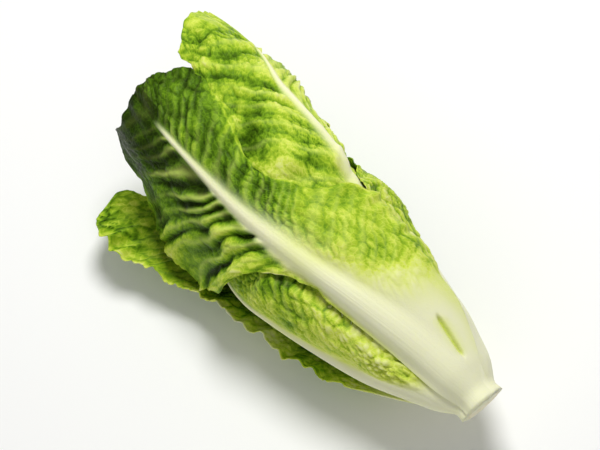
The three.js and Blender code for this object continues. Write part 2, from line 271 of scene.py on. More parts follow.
def leaf_by_rule(rank):
    """Leaf number `rank`, from the outermost inwards, by the plant's own rule."""
    inner = rank / (LEAF_COUNT - 1)
    width = mix(*HALF_WIDTHS, inner)
    length = mix(*LENGTHS, inner**1.2)
    return SimpleNamespace(
        rank=rank,
        name=f"leaf_{rank + 1:02d}",
        azimuth=wrap(FIRST_AZIMUTH + rank * TURN),  # of the rib at its base
        twist=6 * math.sin(rank * 2.4),  # degrees that the rib turns round the axis
        twist_span=(0, 200),  # s where it starts and stops turning
        attach=OUTER_BASE + (rank - CUT_LEAVES + 1) * ATTACH_STEP,  # s of its base
        length=length,
        left=lambda a: width * blade_outline(a / length),
        right=lambda a: 1.04 * width * blade_outline(a / length),
        flare_left=LEVEL,  # how far an edge spreads out of the head
        flare_right=LEVEL,
        looseness=mix(1.05, 1.35, inner),  # of the gap between the leaf and the next
        rib_scale=mix(1, 0.62, inner),  # of the rib's thickness
        rib_breadth=1,
        wave=mix(1.6, 0.6, inner),  # amplitude of the broad waves
        wave_length=46,
        phase=(rank * 0.618) % 1,
        rows=90,
        columns=54,
        rib_end=length,  # where the rib's fibres and its white have faded out
        vein_spacing=(13, 13),
        vein_phase=0.3 * rank,
        pebble=(0.8, 0.8),  # height of the blisters
        pebble_size=7,
        pleat_left=LEVEL,  # height of the pleats
        pleat_right=LEVEL,
        ruffle=1.6,  # height of the ruffles at the margin
        green=lambda share: mix(1, 0.55, inner) * green_along(share),  # by the share of the length
        white=1,  # breadth of the white along the rib
        white_edge=(2.4, 2.4),  # how sharply the white ends
        painted_shade_left=LEVEL,  # painted shade, added as greenness, where the blade is also smoother
        points_left=[],  # pointed lobes: a, length, width along the margin, and how far raised
        toothed=1,  # size of the teeth on the margin
        groove_left=LEVEL,  # of the groove beside the rib, 1 where it is deepest; it also gets painted shade
        tip_fall=LEVEL,  # how much shorter the leaf is at its tip, by b
        lift=LEVEL,  # how far the rib and the left side are lifted out
        settled_to=118,  # how far up its edges lie in on the leaf under them
        hug=0.9,  # and how closely
        contrast=1,  # strength of the painted shade in the blisters' creases and the painted light on their tops
        pale_and_lit_left=LEVEL,  # how much paler an edge is: partly its own paler green, partly painted light where the edge lies in shade
        pale_and_lit_right=LEVEL,
        hollows=[],  # a, b, radius and depth, or a swelling where the depth is negative
        slit=None,  # a and b of its two ends
    )


# The five outer leaves grew less evenly than the rule.
OUTER_LEAVES = {
    # Under the head: its right edge spreads out beside the head and shows past its side.
    "leaf_01": dict(
        attach=0,
        length=228,
        left=curve([
            (0, 11), (18, 18), (45, 30), (80, 46), (114, 60), (141, 64), (173, 62), (200, 51), (228, 26),
        ]),
        right=curve([
            (0, 11), (17, 17), (42, 29), (67, 42), (107, 52), (147, 57), (197, 60), (217, 58), (228, 46),
        ]),
        flare_right=curve([
            (12, 0), (40, 4.5), (65, 8), (104, 10), (125, 13), (147, 18), (167, 26), (187, 30), (202, 32),
            (228, 28),
        ]),
        rows=240,
        columns=140,
        pebble=(1, 2.8),
        pebble_size=5,
        ruffle=4,
        green=curve([(0, 0), (0.14, 0.05), (0.24, 0.4), (0.35, 0.6), (0.55, 0.62), (0.75, 0.48), (1, 0.52)]),
        hug=0.3,
        white=0.7,
        tip_fall=curve([(30, 25), (36, 21), (40, 13), (44, 4), (48, 0)]),
        pale_and_lit_right=curve([(30, 0), (50, 0.25), (125, 0.25), (145, 0.12), (160, 0)]),
        contrast=1.7,
        toothed=0.4,
    ),
    # On top, with the broadest rib: its left side is narrow up to half its height.
    "leaf_02": dict(
        azimuth=-20,
        twist=-18,
        twist_span=(0, 150),
        attach=0,
        length=221,
        left=curve([
            (0, 9), (17, 12), (42, 12), (72, 11), (92, 10.5), (104, 15), (115, 24), (127, 42), (137, 54),
            (147, 56), (187, 53), (204, 46), (221, 34),
        ]),
        right=curve([
            (0, 12), (8, 16), (17, 23), (32, 34), (45, 42), (60, 49), (72, 53), (86, 56), (98, 54), (108, 45),
            (116, 36), (125, 28), (136, 22), (155, 22), (175, 28), (195, 33), (221, 30),
        ]),
        flare_left=curve([(109, 0), (123, 5), (137, 10), (152, 13), (167, 10), (182, 5), (197, 1)]),
        wave=1.2,
        rows=280,
        columns=168,
        rib_end=202,
        pebble=(1.6, 1.6),
        pebble_size=6.6,
        pleat_left=curve([(92, 0), (108, 2.2), (140, 3.4), (180, 2.6), (196, 0.6), (221, 0.1)]),
        pleat_right=curve([(96, 0), (125, 0.5), (150, 0.8), (195, 0.7), (221, 0.2)]),
        vein_spacing=(11, 7.5),
        ruffle=2.8,
        white_edge=(5, 2),
        slit=((14, 12.5), (38, 20)),
        painted_shade_left=curve([(165, 0), (195, 0.1), (210, 0.2), (221, 0.23)]),
        points_left=[(124, 4, 6, 1)],
        groove_left=curve([(100, 0), (118, 0.7), (150, 1), (186, 0.9), (200, 0)]),
        tip_fall=curve([(-39, -2), (-34, -11), (-30, -15), (-25, -9), (-17, 0)]),
        pale_and_lit_left=curve([(112, 0), (126, 0.13), (166, 0.13), (182, 0.12), (192, 0.3), (204, 0.12), (212, 0)]),
        pale_and_lit_right=curve([(118, 0), (140, 0.1), (195, 0.2), (212, 0)]),
    ),
    # On the right: its left side is broad below and narrow above, and its crinkled corner peeps out.
    "leaf_03": dict(
        azimuth=106,
        attach=1,
        length=197,
        left=curve([
            (0, 14), (8, 20), (17, 27), (37, 38), (67, 49), (84, 57), (97, 56), (107, 53), (116, 43),
            (125, 30), (136, 20), (162, 14), (197, 10),
        ]),
        lift=curve([(84, 0), (96, 2.4), (108, 2.8), (118, 1.2), (130, 0)]),
        settled_to=150,
        contrast=2.3,
        rows=210,
        columns=120,
        pebble=(3.2, 1.2),
        pebble_size=6,
        ruffle=2.2,
        green=curve([(0, 0), (0.14, 0.03), (0.24, 0.2), (0.36, 0.38), (0.5, 0.48), (0.65, 0.58), (1, 0.85)]),
    ),
    # On the left: only its rib and the lower half of its right side show.
    "leaf_04": dict(
        azimuth=-97,
        twist=2,
        attach=2,
        length=193,
        left=curve([(0, 10), (17, 15), (36, 24), (75, 37), (115, 42), (154, 38), (177, 28), (193, 13)]),
        right=curve([
            (0, 9), (8, 14), (17, 22), (36, 34), (66, 46), (105, 50), (144, 44), (173, 30), (193, 13),
        ]),
        rows=220,
        columns=120,
        pebble=(1.6, 3.2),
        pebble_size=5.2,
        rib_breadth=0.6,
        white_edge=(2.4, 4),
        vein_spacing=(12, 10),
        ruffle=2.0,
        green=curve([
            (0, 0), (0.06, 0.1), (0.11, 0.22), (0.17, 0.29), (0.3, 0.33), (0.44, 0.42), (0.56, 0.54),
            (1, 0.8),
        ]),
        white=0.34,
        contrast=1.5,
        lift=curve([(15, 0.6), (40, 1.6), (70, 0.8), (95, 1.8), (111, 3), (121, 2), (129, 0)]),
    ),
    # Above the one on the right: the longest, and its rib leans to the right towards its tip.
    "leaf_05": dict(
        azimuth=39,
        twist=34,
        twist_span=(165, 232),
        attach=3,
        length=237,
        left=curve([
            (0, 7), (21, 12), (45, 24), (92, 46), (147, 52), (180, 46), (206, 42), (222, 43), (237, 44),
        ]),
        right=curve([(0, 7), (21, 11), (45, 20), (92, 34), (140, 40), (187, 42), (215, 38), (237, 14)]),
        rows=270,
        columns=160,
        pebble=(1.4, 1.2),
        pebble_size=5.2,
        # The first is a swelling, which eases the rib's rise out from under leaf_03.
        hollows=[
            (119, -1, 9, -1.7), (131, 4, 11, 0.8), (154, -33, 17, 1.3), (165, -23, 12, 1.1),
            (178, -28, 7, 0.8),
        ],
        pleat_left=curve([(96, 0), (125, 0.8), (160, 1.3), (205, 1.1), (226, 0.6), (237, 0.2)]),
        pleat_right=curve([(110, 0), (140, 1.1), (225, 1.0), (237, 0)]),
        vein_spacing=(15, 8),
        vein_phase=0.86,
        white=0.8,
        contrast=1.15,
        ruffle=2.4,
        green=curve([(0, 0), (0.14, 0.03), (0.24, 0.2), (0.4, 0.36), (0.6, 0.42), (0.8, 0.43), (1, 0.43)]),
    ),
}


def grown_leaf(rank):
    """Leaf number `rank` as it grew: by the rule, or with the values of its own."""
    leaf = leaf_by_rule(rank)
    for key, value in OUTER_LEAVES.get(leaf.name, {}).items():
        setattr(leaf, key, value)
    if rank >= LEAF_COUNT:
        leaf.rows = HEART_ROWS
        leaf.columns = HEART_COLUMNS
    return leaf


LEAVES = [grown_leaf(rank) for rank in range(LEAF_COUNT + HEART_LEAVES)]


def rib_azimuth(leaf, s):
    """Azimuth of the leaf's rib at s."""
    return leaf.azimuth + leaf.twist * smooth(*leaf.twist_span, s)


def length_share(leaf, a):
    """How far up the leaf a is, from 0 at its base to 1 at its tip."""
    return np.clip(a / leaf.length, 0, 1)


def half_width(leaf, a, b):
    """Half-width of the leaf at a, on the side of the rib where b lies."""
    a = np.clip(a, 0, leaf.length)
    return np.where(b < 0, leaf.left(a), leaf.right(a))


def cover(leaf, a, b):
    """1 over the leaf itself and 0 well clear of it."""
    half = half_width(leaf, a, b)
    beyond = np.maximum(np.abs(b) - half, 0)
    broad = smooth(14, 32, half)
    near = 1 - smooth(mix(0.5, 4, broad), mix(7, 32, broad), beyond)
    return near * (1 - smooth(4, 26, a - leaf.length)) * (1 - smooth(1, 5, -a))


def wave_depth(leaf, a, b):
    """How far the leaf's broad waves press in."""
    across = np.minimum(np.abs(b) / half_width(leaf, a, b), 1.2)
    phase = (a - 0.6 * np.abs(b)) / leaf.wave_length + leaf.phase + np.where(b < 0, 0, 0.37)
    swell = smooth(0.2, 0.55, length_share(leaf, a)) * across**2
    return leaf.wave * swell * (1 + np.sin(2 * np.pi * phase))


def flare(leaf, a, b):
    """How far the leaf's edge spreads out of the head, where nothing holds it in."""
    across = np.abs(b) / half_width(leaf, a, b)
    spread = np.where(b < 0, leaf.flare_left(a), leaf.flare_right(a))
    return spread * np.clip((across - 0.42) / 0.58, 0, 1.2) ** 1.5


def rib_half(leaf, a):
    """Half-width of the rib at a."""
    return leaf.rib_breadth * rib_half_width(length_share(leaf, a))


def rib_height(leaf, a):
    """Thickness that the rib adds to the blade, in its middle."""
    return rib_thickness(length_share(leaf, a)) * leaf.rib_scale


def beside_rib(leaf, a, b):
    """1 at the rib, fading to 0 where the blade is free of it."""
    half = rib_half(leaf, a)
    return 1 - smooth(0.3 * half, half + 14, np.abs(b))


def rib_section(leaf, a, b):
    """The rib's rounded section: 1 in its middle and 0 beside it."""
    return bump(b / rib_half(leaf, a))


def depth(leaf, a, b):
    """The room that a leaf takes up in the head, from its outermost to its innermost point."""
    return BLADE_THICKNESS + rib_height(leaf, a) * beside_rib(leaf, a, b) + wave_depth(leaf, a, b)


def settled(leaf, a, b):
    """How far a leaf's edges lie in on the leaf under them, low on the head where the leaves hug it."""
    across = np.clip(np.abs(b) / half_width(leaf, a, b), 0, 1)
    slack = leaf.looseness * leaf_gap(a) + (1 - RIB_OUTSIDE) * rib_height(leaf, a) * beside_rib(leaf, a, b)
    low = 1 - smooth(leaf.settled_to - 28, leaf.settled_to, a)
    return leaf.hug * slack * smooth(0.35, 0.85, across) * low


def room(s, azimuth, count, axis_height):
    """Radius of the room left inside the `count` outermost leaves."""
    floor = floor_radius(azimuth, axis_height)
    radius = unladen_radius(s, azimuth)
    radius = np.where(floor < NO_FLOOR, soft_min(radius, floor, FLOOR_BLEND), radius)
    for leaf in LEAVES[:count]:
        a = s - leaf.attach
        b = wrap(azimuth - rib_azimuth(leaf, s)) * DEG * head_radius(s)
        taken = depth(leaf, a, b) * slant(s) + leaf.looseness * leaf_gap(a) - flare(leaf, a, b)
        radius = radius - cover(leaf, a, b) * np.maximum(taken, 0)
    return radius


def in_head(s, azimuth, r, axis_height):
    """Points at radius r of places in the head."""
    return np.stack([r * np.sin(azimuth * DEG), s, axis_height + r * np.cos(azimuth * DEG)], axis=-1)


# ---- Relief and colour of a blade ----
VEIN_LEAN = 0.95  # how much further up the leaf a vein is for each mm away from the rib
VEIN_HEIGHT = 0.3
FIBRE_HEIGHT = 0.06
GROOVE_DEPTH = 1.5
GROOVE_WIDTH = 5
GROOVE_OFF_RIB = 3.5  # from the rib's edge to the middle of the groove
SLIT_DEPTH = 2.6
SLIT_WIDTH = 1.1
SLIT_TINT_AND_SHADE_WIDTH = 5  # of the green round the slit, partly its own tint and partly painted shade
SIDE_SEEDS = (17.3, 41.7)  # of the noise to the left and right of a rib


def blisters(p, q, side):
    """Blisters with sharp creases between them: their height, about -0.5 to 0.5, and the creases, 0 to 1, for
    painted shade.

    p and q are places across and along the veins, in blister widths.
    """
    large = cell_edge(p + side, 0.72 * q + side)
    small = cell_edge(2.1 * p + side + 3, 1.6 * q + side)
    finer = smooth(-0.4, 0.4, noise(0.3 * p + side, 0.3 * q))
    large_height = mix(0.6, 0.3, finer) * (1 - np.exp(-3 * large))
    small_height = mix(0.35, 0.65, finer) * (1 - np.exp(-2.6 * small))
    large_crease = mix(0.9, 0.4, finer) * np.exp(-7 * large)
    small_crease = mix(0.4, 0.9, finer) * np.exp(-5 * small)
    return large_height + small_height - 0.5, np.maximum(large_crease, small_crease)


def slit_share(ends, a, b, breadth):
    """1 in the middle of a lens-shaped slit between two points of a leaf, and 0 outside it."""
    if ends is None:
        return 0 * a
    (a0, b0), (a1, b1) = ends
    length = math.hypot(a1 - a0, b1 - b0)
    along = ((a - a0) * (a1 - a0) + (b - b0) * (b1 - b0)) / length**2
    off = np.abs((b - b0) * (a1 - a0) - (a - a0) * (b1 - b0)) / length
    width = breadth * (0.2 + 0.8 * np.sqrt(np.clip(4 * along * (1 - along), 0, 1)))
    return np.exp(-((off / width) ** 2)) * smooth(0, 0.2, along) * smooth(1, 0.8, along)


def surface(leaf, a, b, seed):
    """Height of the blade's relief in mm; greenness with painted light and shade, pale veins, rib and white,
    0 to 1.
    """
    share = length_share(leaf, a)
    beside = np.abs(b)
    across = np.clip(beside / half_width(leaf, a, b), 0, 1)
    half = rib_half(leaf, a)
    ending = 1 - smooth(leaf.rib_end - 14, leaf.rib_end, a)
    on_rib = bump(beside / (half * 1.25 + 0.8)) * ending
    green = leaf.green(share)
    blade = smooth(0.6 * half, 1.3 * half + 3, beside) * smooth(0.12, 0.3, green)
    side = np.where(b < 0, *SIDE_SEEDS) + seed
    spacing = np.where(b < 0, *leaf.vein_spacing)

    # Everything on the blade strays a little, so that nothing runs straight or comes in even rows.
    stray = 3.2 * noise(a / 19 + side, b / 15) + 1.5 * noise(a / 7, b / 6 + side)
    drift = 2.6 * noise(a / 15, b / 18 + side + 9) + 1.4 * noise(a / 6 + side, b / 7 + 9)

    # Lateral veins leave the rib at a slant, unevenly spaced, and fade towards the margin.
    across_veins = a - VEIN_LEAN * beside + 0.004 * beside**2 + stray
    vein_place = across_veins / spacing + leaf.vein_phase
    vein_place = vein_place + 0.8 * noise(0.45 * vein_place + side, b / 32)
    off_vein = np.abs(vein_place - np.round(vein_place)) * spacing / math.hypot(1, VEIN_LEAN)
    vein = np.exp(-((off_vein / mix(1.4, 0.5, across)) ** 2)) * (1 - 0.6 * across) * smooth(0.05, 0.3, green)

    # Pleats follow the veins: broad rounded crests with a vein on each, and sharp furrows between them.
    pleat_height = np.where(b < 0, leaf.pleat_left(a), leaf.pleat_right(a))
    pleat_height = pleat_height * np.maximum(0.9 + 1.0 * noise(0.8 * vein_place + side, b / 15), 0.1)
    crest = np.abs(np.cos(np.pi * vein_place)) ** 0.8 + 0.25 * noise(1.7 * vein_place + side, beside / 8)
    at_rib = np.exp(-(((beside - half) / 7) ** 2)) * smooth(0.45, 0.6, share)
    pleat_height = pleat_height * (1 + 0.5 * at_rib)
    pleat = pleat_height * (crest - 0.6) * smooth(0.5, 1.2, beside / (half + 1.5)) * mix(1, 0.8, across)

    # Blisters fill the blade, flatter and with fainter painted crease shade in some places than in others.
    size = leaf.pebble_size
    height_now, crease = blisters(across_veins / (1.38 * size), (beside + drift) / size, side)
    crease = crease * (0.2 + smooth(-0.1, 0.6, noise(a / 13 + side + 5, b / 11)))
    roughness = 0.75 + 0.6 * noise(a / 25 + side + 3, b / 19)
    calm = 1 - 2.6 * np.where(b < 6, leaf.painted_shade_left(a), 0)
    pebble = np.where(b < 0, *leaf.pebble) * roughness * height_now * blade * calm

    # The blade is crumpled as a whole, and its margin is ruffled along its sides and at its tip.
    crumple = noise(a / 9.5 + side + 2, b / 8 + 6)
    swell = (1.1 * noise(a / 24 + side, b / 20) + 0.6 * crumple) * blade
    edge = smooth(0.66, 1, across) * smooth(0.2, 0.38, share)
    top = smooth(0.86, 1, share)
    ripple = 0.3 + noise(a / 9 + side, 0.5) + 0.6 * noise(a / 3.8, side)
    top_ripple = 0.3 + noise(b / 11 + side, 7.5) + 0.55 * noise(b / 4.3, side)
    ruffle = leaf.ruffle * (edge * ripple * (1 - top) + 0.8 * top * top_ripple)
    fibres = FIBRE_HEIGHT * noise(b / 0.9 + side, a / 60) * on_rib * smooth(0.02, 0.1, share)
    height = pleat + pebble + swell + ruffle + fibres + VEIN_HEIGHT * vein * blade

    # Hollows and swellings have uneven shores. The green round the slit, partly its own tint and partly
    # painted shade, changes the colour, not the height.
    shore = 1 + 0.45 * noise(a / 6 + side, b / 5)
    sunk = sum(deep * bump(np.hypot(a - up, b - out) / size * shore) for up, out, size, deep in leaf.hollows)
    # The slit's middle gets painted shade in its green; round it, the green is partly the leaf's own tint and
    # partly painted shade.
    slit = slit_share(leaf.slit, a, b, SLIT_WIDTH)
    slit_tint_and_shade = slit_share(leaf.slit, a, b, SLIT_TINT_AND_SHADE_WIDTH)
    in_groove = bump((b + half + GROOVE_OFF_RIB) / GROOVE_WIDTH)
    groove = leaf.groove_left(a) * in_groove * (0.75 + 0.6 * noise(a / 6 + side, 4.5))
    height = height - sunk - SLIT_DEPTH * slit - GROOVE_DEPTH * groove

    # White covers the base and follows the rib up the leaf.
    edge_power = np.where(b < 0, *leaf.white_edge)
    white = ending * np.exp(-((beside / (leaf.white * white_half_width(share))) ** edge_power))
    off_slit = 1 - np.clip(slit + 0.8 * slit_tint_and_shade, 0, 1)
    off_margin = 1 - 0.7 * smooth(0.7, 1, across) * smooth(0.03, 0.1, share)
    white = white * off_slit * off_margin

    # The green is darker in creases, furrows and hollows (painted shade) and lighter on blisters and crests
    # (painted light) and pale edges.
    patches = 0.12 * noise(a / 19 + side, b / 15) + 0.07 * noise(a / 7, b / 6 + side) - 0.06 * crumple
    # Near the tip, left of the rib and on it, the green gets painted shade where the blade curls away from
    # the light.
    green = green + patches * smooth(0.1, 0.4, green) + np.where(b < 6, leaf.painted_shade_left(a), 0)
    # Edges are paler, partly in their own green and partly as painted light where they lie in shade; crumpled
    # places get the most.
    pale = np.where(b < 0, leaf.pale_and_lit_left(a), leaf.pale_and_lit_right(a)) * smooth(0.68, 0.95, across)
    green = green - pale * (0.6 + 0.8 * smooth(-0.3, 0.5, crumple))
    # Painted shade: a leaf's edges low down are a little greener, as in the shade of the leaf beside them.
    green = green + 0.1 * smooth(0.6, 1, across) * smooth(0.02, 0.08, share) * (1 - smooth(0.3, 0.45, share))
    # Painted shade in the pleats' furrows and a painted highlight on their crests, stronger where the pleats
    # are higher.
    furrow_shade = smooth(0.62, 0.15, crest) * np.clip(pleat_height / 2.4, 0, 1.2)
    lit_crest = np.clip(pleat_height / 2.4, 0, 1.2) * smooth(0.6, 1, crest)
    folded = smooth(0.8, 2.4, pleat_height)
    # Painted shade in the blisters' creases and painted light on their tops.
    blister_light_and_shade = leaf.contrast * (0.2 * crease - 0.22 * height_now) * calm
    # Hollows get painted shade and swellings, whose depth is negative, painted light.
    green = green + (blister_light_and_shade + 0.24 * furrow_shade - 0.14 * lit_crest + 0.27 * sunk) * blade
    # Painted shade in the groove beside the rib and in the slit; round the slit a greener tint, partly the
    # leaf's own and partly painted shade.
    green = green + 0.1 * slit + 0.14 * slit_tint_and_shade + 0.34 * groove
    margin = smooth(0.97, 1, across) * smooth(0.2, 0.4, share)
    high = smooth(0.34, 0.55, share)
    green = (green - 0.16 * margin) * (1 - white * mix(1, 0.35, high)) + 0.02 * white
    return SimpleNamespace(
        height=height,
        green=np.clip(green, 0, 1),
        vein=vein * mix(1 - 0.85 * smooth(0.6, 0.95, share), 1, folded) * mix(0.5, 1, folded),
        rib=on_rib,
        white=white * high,
    )


# ---- Meshes ----
ROW_CROWDING = 0.3  # rows are closer together towards the tip
COLUMN_CROWDING = 1.08  # and columns towards the rib
LEAF_SEED = 5.37  # in the relief's noise, from one leaf to the next
PLACE_STEP = 40.0  # in the materials' noise, from one leaf to the next
INNER_LOWEST = 0.3  # least height above the floor of a leaf's inner face


def grid_faces(rows, columns):
    """Quads of a closed sheet: its back, its inner face, and the wall between them."""
    under = (rows + 1) * (columns + 1)
    index = np.arange(under).reshape(rows + 1, columns + 1)
    p, q, r, s = index[:-1, :-1], index[:-1, 1:], index[1:, 1:], index[1:, :-1]
    quads = [np.stack([p, q, r, s], -1).reshape(-1, 4)]
    quads.append(np.stack([p, s, r, q], -1).reshape(-1, 4) + under)
    rim = np.concatenate([index[0, :-1], index[:-1, -1], index[-1, :0:-1], index[:0:-1, 0]])
    after = np.roll(rim, -1)
    quads.append(np.stack([rim, rim + under, after + under, after], -1))
    return np.concatenate(quads)


def normals_of(points):
    """Outward normals of a grid of points."""
    along = np.gradient(points, axis=0)
    across = np.gradient(points, axis=1)
    normal = np.cross(across, along)
    return normal / np.maximum(np.linalg.norm(normal, axis=-1, keepdims=True), 1e-9)


def cut_lean(azimuth, r):
    """Where along the axis the leaning cut is, at a distance r from the axis."""
    return CUT_START - CUT_SLOPE * r * np.cos(azimuth * DEG)


def leaf_sheet(leaf, axis_height):
    """Points, faces and surface values of one leaf, in mm in the head's frame."""
    rows, columns = leaf.rows, leaf.columns

    # A grid over the leaf, with a rounded tip and a toothed margin.
    even = np.linspace(0, 1, rows + 1)[:, None]
    step = even + ROW_CROWDING * even * (1 - even)
    side = np.linspace(-1, 1, columns + 1)[None, :]
    across = np.sign(side) * np.abs(side) ** COLUMN_CROWDING
    outline_at = leaf.length * step + 0 * side
    half = np.where(side < 0, leaf.left(outline_at), leaf.right(outline_at))
    seed = leaf.rank * LEAF_SEED
    teeth = 1.0 * noise(outline_at / 3.4 + seed, 3.5) + 2.6 * noise(outline_at / 12 + seed, 9.5)
    grown = smooth(0.12, 0.35, step) * smooth(10, 26, half)
    a = leaf.length * (step - TIP_ROUNDING * across**2 * smooth(0.6, 1, step))
    b = across * half
    tip_teeth = leaf.toothed * (1.3 * noise(b / 3.6 + seed, 5.5) + 1.8 * noise(b / 9 + seed, 2.5))
    lift = 0 * outline_at
    for place, length, width, raised in leaf.points_left:
        point = bump((outline_at - place) / width) * (side < 0)
        teeth = teeth + length * point
        lift = lift + raised * point * np.abs(across) ** 4
    b = b * (1 + leaf.toothed * teeth * grown * np.abs(across) ** 3 / np.maximum(half, 5))
    a = a + tip_teeth * smooth(0.9, 1, step) - leaf.tip_fall(b) * smooth(0.75, 1, step)

    # Where the grid's points lie in the head: the outer leaves' bases end at the leaning cut.
    s = leaf.attach + a
    if leaf.rank < CUT_LEAVES:
        start = CUT_RIM + cut_lean(leaf.azimuth + b / (head_radius(0) * DEG), head_radius(0))
        s = np.where(a < CUT_REACH, start + a * (leaf.attach + CUT_REACH - start) / CUT_REACH, s)
    azimuth = rib_azimuth(leaf, s) + b / (head_radius(s) * DEG)

    # The back fills the room left by the leaves outside this one, with the rib standing out of it.
    rib = rib_section(leaf, a, b)
    valley = rib_height(leaf, a) * RIB_OUTSIDE * beside_rib(leaf, a, b) * (1 - rib)
    start = unladen_radius(s, azimuth) if leaf.rank == 0 else room(s, azimuth, leaf.rank, axis_height)
    at_edge = smooth(0.7, 1, np.abs(across))
    lift = lift + leaf.lift(a) * (1 - smooth(8, 24, b)) * (1 - 0.8 * at_edge)
    r = start + flare(leaf, a, b) + lift - settled(leaf, a, b) - (valley + wave_depth(leaf, a, b)) * slant(s)
    r = r + CUT_LIP * (1 - smooth(0, 5, a)) * (leaf.rank < CUT_LEAVES)
    back = in_head(s, azimuth, np.minimum(r, floor_radius(azimuth, axis_height)), axis_height)

    skin = surface(leaf, a, b, seed)
    normal = normals_of(back)
    back = back + normal * skin.height[..., None]
    back[..., 2] = np.maximum(back[..., 2], 0)

    # The inner face lies the leaf's thickness in from the back, and meets the stem at the base.
    outward = np.stack([back[..., 0], 0 * s, back[..., 2] - axis_height], -1)
    outward /= np.maximum(np.linalg.norm(outward, axis=-1, keepdims=True), 1e-9)
    fleshy = bump(b / (rib_half(leaf, a) + 8))
    turn = np.maximum(fleshy, 1 - smooth(4, 14, a))[..., None]
    inward = mix(normal, outward, turn)
    inward /= np.maximum(np.linalg.norm(inward, axis=-1, keepdims=True), 1e-9)
    edge = np.clip(np.abs(b) / half_width(leaf, a, b), 0, 1)
    blade = mix(BLADE_MIDDLE, BLADE_EDGE, smooth(0.8, 1, np.maximum(edge, length_share(leaf, a))))
    thickness = mix(BLADE_THICKNESS, blade, smooth(20, 60, a)) + rib_height(leaf, a) * rib
    stretch = mix(slant(s), 1, smooth(60, 100, s))
    inner = back - inward * (thickness * stretch)[..., None]
    radius = stem_radius(s) + JOINT_GAP if leaf.rank < LEAF_COUNT else 0.5 * core_radius(s)
    joined = outward * radius[..., None]
    joined[..., 1] = back[..., 1]
    joined[..., 2] += axis_height
    foot = (1 - smooth(1, 6, a)) * (1 if leaf.rank < CUT_LEAVES else 1 - smooth(0.45, 0.85, edge))
    inner = mix(inner, joined, foot[..., None])
    inner[..., 2] = np.maximum(inner[..., 2], INNER_LOWEST)

    def both(values):
        return np.concatenate([values.ravel(), values.ravel()])

    place = np.stack([both(a), both(b), np.full(2 * a.size, leaf.rank * PLACE_STEP)], -1)
    return SimpleNamespace(
        points=np.concatenate([back.reshape(-1, 3), inner.reshape(-1, 3)]),
        faces=grid_faces(rows, columns),
        place=place,
        values=dict(green=both(skin.green), vein=both(skin.vein), rib=both(skin.rib), white=both(skin.white)),
    )


def turned_sheet(radius_at, start, end, rows, sides, axis_height, cap_rings):
    """Rings of points of a round body on the head's axis with flat ends, and each ring's s and radius."""
    shares = np.linspace(0, 1, cap_rings + 1)[1:-1]
    rings = [(start, float(radius_at(start)) * t) for t in shares]
    rings += [(s, float(radius_at(s))) for s in np.linspace(start, end, rows + 1)]
    rings += [(end, float(radius_at(end)) * t) for t in shares[::-1]]
    s, r = np.array(rings).T
    azimuth = np.arange(sides) * 360 / sides
    s_at, azimuth_at, r_at = np.broadcast_arrays(s[:, None], azimuth, r[:, None])
    return in_head(s_at, azimuth_at, r_at, axis_height), s, r


def closed_rings(points):
    """Faces of rings of points joined into a body, with a fan on each end."""
    rings, sides, _ = points.shape
    index = np.arange(rings * sides).reshape(rings, sides)
    after = np.roll(index, -1, axis=1)
    faces = np.stack([index[:-1], index[1:], after[1:], after[:-1]], -1).reshape(-1, 4).tolist()
    first, last = rings * sides, rings * sides + 1
    faces += [(first, int(p), int(q)) for p, q in zip(index[0], after[0])]
    faces += [(last, int(q), int(p)) for p, q in zip(index[-1], after[-1])]
    middles = [points[0].mean(axis=0), points[-1].mean(axis=0)]
    return np.concatenate([points.reshape(-1, 3), middles]), faces


def make_object(name, points, faces, place, values, origin, material):
    """A smooth mesh object from points in mm in the head's frame, with its surface values as attributes."""
    mesh = bpy.data.meshes.new(name)
    mesh.from_pydata(((points + origin) * MM).tolist(), [], faces)
    mesh.polygons.foreach_set("use_smooth", [True] * len(mesh.polygons))
    own_place = mesh.attributes.new("place", "FLOAT_VECTOR", "POINT")
    own_place.data.foreach_set("vector", np.float32(place).ravel())
    for key, column in values.items():
        mesh.attributes.new(key, "FLOAT", "POINT").data.foreach_set("value", np.float32(column))
    mesh.materials.append(material)
    mesh.update()
    piece = bpy.data.objects.new(name, mesh)
    bpy.context.scene.collection.objects.link(piece)
    return piece


# ---- Materials ----
def linear(srgb):
    """An sRGB colour in 0-255 as linear RGBA."""
    share = np.array(srgb) / 255
    values = np.where(share <= 0.04045, share / 12.92, ((share + 0.055) / 1.055) ** 2.4)
    return (*values.tolist(), 1.0)


